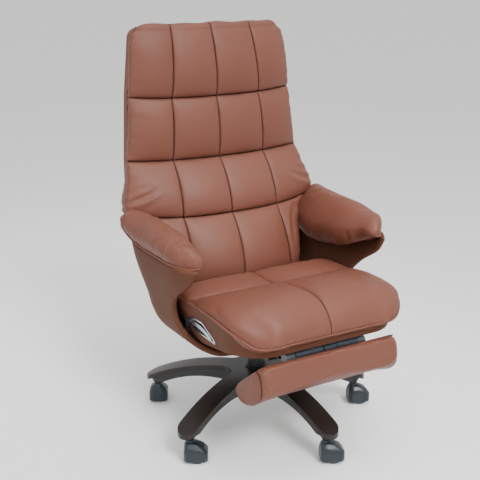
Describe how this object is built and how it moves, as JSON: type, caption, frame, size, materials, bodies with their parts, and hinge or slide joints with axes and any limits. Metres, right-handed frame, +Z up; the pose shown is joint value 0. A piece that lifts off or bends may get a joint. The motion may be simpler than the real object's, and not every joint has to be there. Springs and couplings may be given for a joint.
{
  "type": "reclining office chair with footrest",
  "caption": "Leather executive chair with a tufted high back that reclines with its arms, a star base on casters, and a padded footrest that slides out from under the seat and flips up.",
  "frame": {"origin": "on the floor, on the gas column's axis", "axes": "+Z up, the chair faces -Y, +X is the sitter's left"},
  "size_m": [0.7109, 0.7096, 1.154],
  "materials": {
    "leather": "soft semi-gloss, fine grain",
    "side_leather": "soft semi-gloss, fine grain",
    "chrome_trim": "polished plating",
    "plain_steel": "bright drawn steel",
    "tube_steel": "grey enamel",
    "black_steel": "black powder coat",
    "plywood": "raw moulded ply",
    "base_moulding": "satin moulded",
    "frame_plastic": "moulded nylon",
    "caster_plastic": "satin moulded nylon",
    "caster_tread": "moulded nylon",
    "hinge_plastic": "satin moulded"
  },
  "bodies": {
    "base": {"star_frame": "frame_plastic", "star_cover": "base_moulding", "caster_stems": "plain_steel", "stand_tube": "black_steel", "guide_bush": "frame_plastic", "thrust_bearing": "plain_steel"},
    "column_rod": {"piston_rod": "plain_steel", "rod_clip": "plain_steel"},
    "seat": {"pressure_tube": "black_steel", "chassis": "black_steel", "mounting_plate": "black_steel", "pivot_shaft": "plain_steel", "footrest_guides": "black_steel", "seat_pan": "plywood", "seat_fascia": "side_leather", "seat_cushion": "leather", "handle_bezel_right": "chrome_trim", "handle_bezel_left": "chrome_trim"},
    "back": {"back_bracket": "black_steel", "back_frame": "plywood", "back_cover": "side_leather", "back_cushion": "leather", "arm_shell_right": "side_leather", "arm_shell_left": "side_leather", "arm_pad_right": "leather", "arm_pad_left": "leather"},
    "gas_spring_body": {"spring_cylinder": "black_steel"},
    "gas_spring_rod": {"spring_rod": "plain_steel"},
    "footrest_carriage": {"slide_rails": "plain_steel", "cross_tube": "tube_steel"},
    "footrest": {"footrest_board": "side_leather", "footrest_pad": "leather", "hinge_plate_right": "hinge_plastic", "hinge_plate_left": "hinge_plastic", "latch_frame": "hinge_plastic"},
    "recline_lever": {"recline_paddle": "chrome_trim"},
    "lift_lever": {"lift_paddle": "chrome_trim"},
    "caster_1": {"caster_hood_1": "caster_plastic", "caster_axle_1": "plain_steel"},
    "wheel_1_right": {"caster_wheel_1_right": "caster_tread"},
    "wheel_1_left": {"caster_wheel_1_left": "caster_tread"},
    "caster_2": {"caster_hood_2": "caster_plastic", "caster_axle_2": "plain_steel"},
    "wheel_2_right": {"caster_wheel_2_right": "caster_tread"},
    "wheel_2_left": {"caster_wheel_2_left": "caster_tread"},
    "caster_3": {"caster_hood_3": "caster_plastic", "caster_axle_3": "plain_steel"},
    "wheel_3_right": {"caster_wheel_3_right": "caster_tread"},
    "wheel_3_left": {"caster_wheel_3_left": "caster_tread"},
    "caster_4": {"caster_hood_4": "caster_plastic", "caster_axle_4": "plain_steel"},
    "wheel_4_right": {"caster_wheel_4_right": "caster_tread"},
    "wheel_4_left": {"caster_wheel_4_left": "caster_tread"},
    "caster_5": {"caster_hood_5": "caster_plastic", "caster_axle_5": "plain_steel"},
    "wheel_5_right": {"caster_wheel_5_right": "caster_tread"},
    "wheel_5_left": {"caster_wheel_5_left": "caster_tread"}
  },
  "joints": [
    {"name": "column_swivel", "type": "hinge", "parent": "base", "child": "column_rod", "pos_m": [0, 0, 0.15], "axis": [0, 0, 1], "continuous": true},
    {"name": "seat_lift", "type": "slide", "parent": "column_rod", "child": "seat", "axis": [0, 0, 1], "range_m": [0, 0.08]},
    {"name": "recline", "type": "hinge", "parent": "seat", "child": "back", "pos_m": [0, -0.11, 0.31], "axis": [-1, 0, 0], "range_deg": [0, 35]},
    {"name": "spring_swing", "type": "hinge", "parent": "seat", "child": "gas_spring_body", "pos_m": [0.098, -0.155, 0.278], "axis": [-1, 0, 0], "range_deg": [0, 31]},
    {"name": "spring_stroke", "type": "slide", "parent": "gas_spring_body", "child": "gas_spring_rod", "axis": [0, 0.9845, 0.1754], "range_m": [-0.025, 0]},
    {"name": "footrest_slide", "type": "slide", "parent": "seat", "child": "footrest_carriage", "axis": [0, -1, 0], "range_m": [0, 0.2]},
    {"name": "footrest_flip", "type": "hinge", "parent": "footrest_carriage", "child": "footrest", "pos_m": [0, -0.34, 0.35], "axis": [-1, 0, 0], "range_deg": [0, 115.5]},
    {"name": "recline_pull", "type": "hinge", "parent": "seat", "child": "recline_lever", "pos_m": [-0.25331, -0.185, 0.37746], "axis": [0.9648, 0, 0.2631], "range_deg": [0, 3.5], "stiffness_Nm_per_rad": 1, "springref_deg": -3.44},
    {"name": "lift_pull", "type": "hinge", "parent": "seat", "child": "lift_lever", "pos_m": [0.25331, -0.185, 0.37746], "axis": [0.9648, 0, -0.2631], "range_deg": [0, 3.5], "stiffness_Nm_per_rad": 1, "springref_deg": -3.44},
    {"name": "caster_swivel_1", "type": "hinge", "parent": "base", "child": "caster_1", "pos_m": [0.16241, 0.27572, 0.06], "axis": [0, 0, 1], "continuous": true},
    {"name": "roll_1_right", "type": "hinge", "parent": "caster_1", "child": "wheel_1_right", "pos_m": [0.17973, 0.26572, 0.024], "axis": [0.5, 0.866, 0], "continuous": true},
    {"name": "roll_1_left", "type": "hinge", "parent": "caster_1", "child": "wheel_1_left", "pos_m": [0.17973, 0.26572, 0.024], "axis": [0.5, 0.866, 0], "continuous": true},
    {"name": "caster_swivel_2", "type": "hinge", "parent": "base", "child": "caster_2", "pos_m": [-0.21204, 0.23967, 0.06], "axis": [0, 0, 1], "continuous": true},
    {"name": "roll_2_right", "type": "hinge", "parent": "caster_2", "child": "wheel_2_right", "pos_m": [-0.20204, 0.25699, 0.024], "axis": [-0.866, 0.5, 0], "continuous": true},
    {"name": "roll_2_left", "type": "hinge", "parent": "caster_2", "child": "wheel_2_left", "pos_m": [-0.20204, 0.25699, 0.024], "axis": [-0.866, 0.5, 0], "continuous": true},
    {"name": "caster_swivel_3", "type": "hinge", "parent": "base", "child": "caster_3", "pos_m": [-0.29346, -0.1276, 0.06], "axis": [0, 0, 1], "continuous": true},
    {"name": "roll_3_right", "type": "hinge", "parent": "caster_3", "child": "wheel_3_right", "pos_m": [-0.27614, -0.1376, 0.024], "axis": [0.5, 0.866, 0], "continuous": true},
    {"name": "roll_3_left", "type": "hinge", "parent": "caster_3", "child": "wheel_3_left", "pos_m": [-0.27614, -0.1376, 0.024], "axis": [0.5, 0.866, 0], "continuous": true},
    {"name": "caster_swivel_4", "type": "hinge", "parent": "base", "child": "caster_4", "pos_m": [0.03067, -0.31853, 0.06], "axis": [0, 0, 1], "continuous": true},
    {"name": "roll_4_right", "type": "hinge", "parent": "caster_4", "child": "wheel_4_right", "pos_m": [0.0488, -0.32698, 0.024], "axis": [0.4226, 0.9063, 0], "continuous": true},
    {"name": "roll_4_left", "type": "hinge", "parent": "caster_4", "child": "wheel_4_left", "pos_m": [0.0488, -0.32698, 0.024], "axis": [0.4226, 0.9063, 0], "continuous": true},
    {"name": "caster_swivel_5", "type": "hinge", "parent": "base", "child": "caster_5", "pos_m": [0.31241, -0.06926, 0.06], "axis": [0, 0, 1], "continuous": true},
    {"name": "roll_5_right", "type": "hinge", "parent": "caster_5", "child": "wheel_5_right", "pos_m": [0.33121, -0.0761, 0.024], "axis": [0.342, 0.9397, 0], "continuous": true},
    {"name": "roll_5_left", "type": "hinge", "parent": "caster_5", "child": "wheel_5_left", "pos_m": [0.33121, -0.0761, 0.024], "axis": [0.342, 0.9397, 0], "continuous": true}
  ],
  "couplings": [
    {"joint": "spring_swing", "follows": "recline", "ratio": 0.826},
    {"joint": "spring_stroke", "follows": "recline", "m_per_rad": -0.0349},
    {"joint": "footrest_flip", "follows": "footrest_slide", "rad_per_m": 10.04}
  ]
}
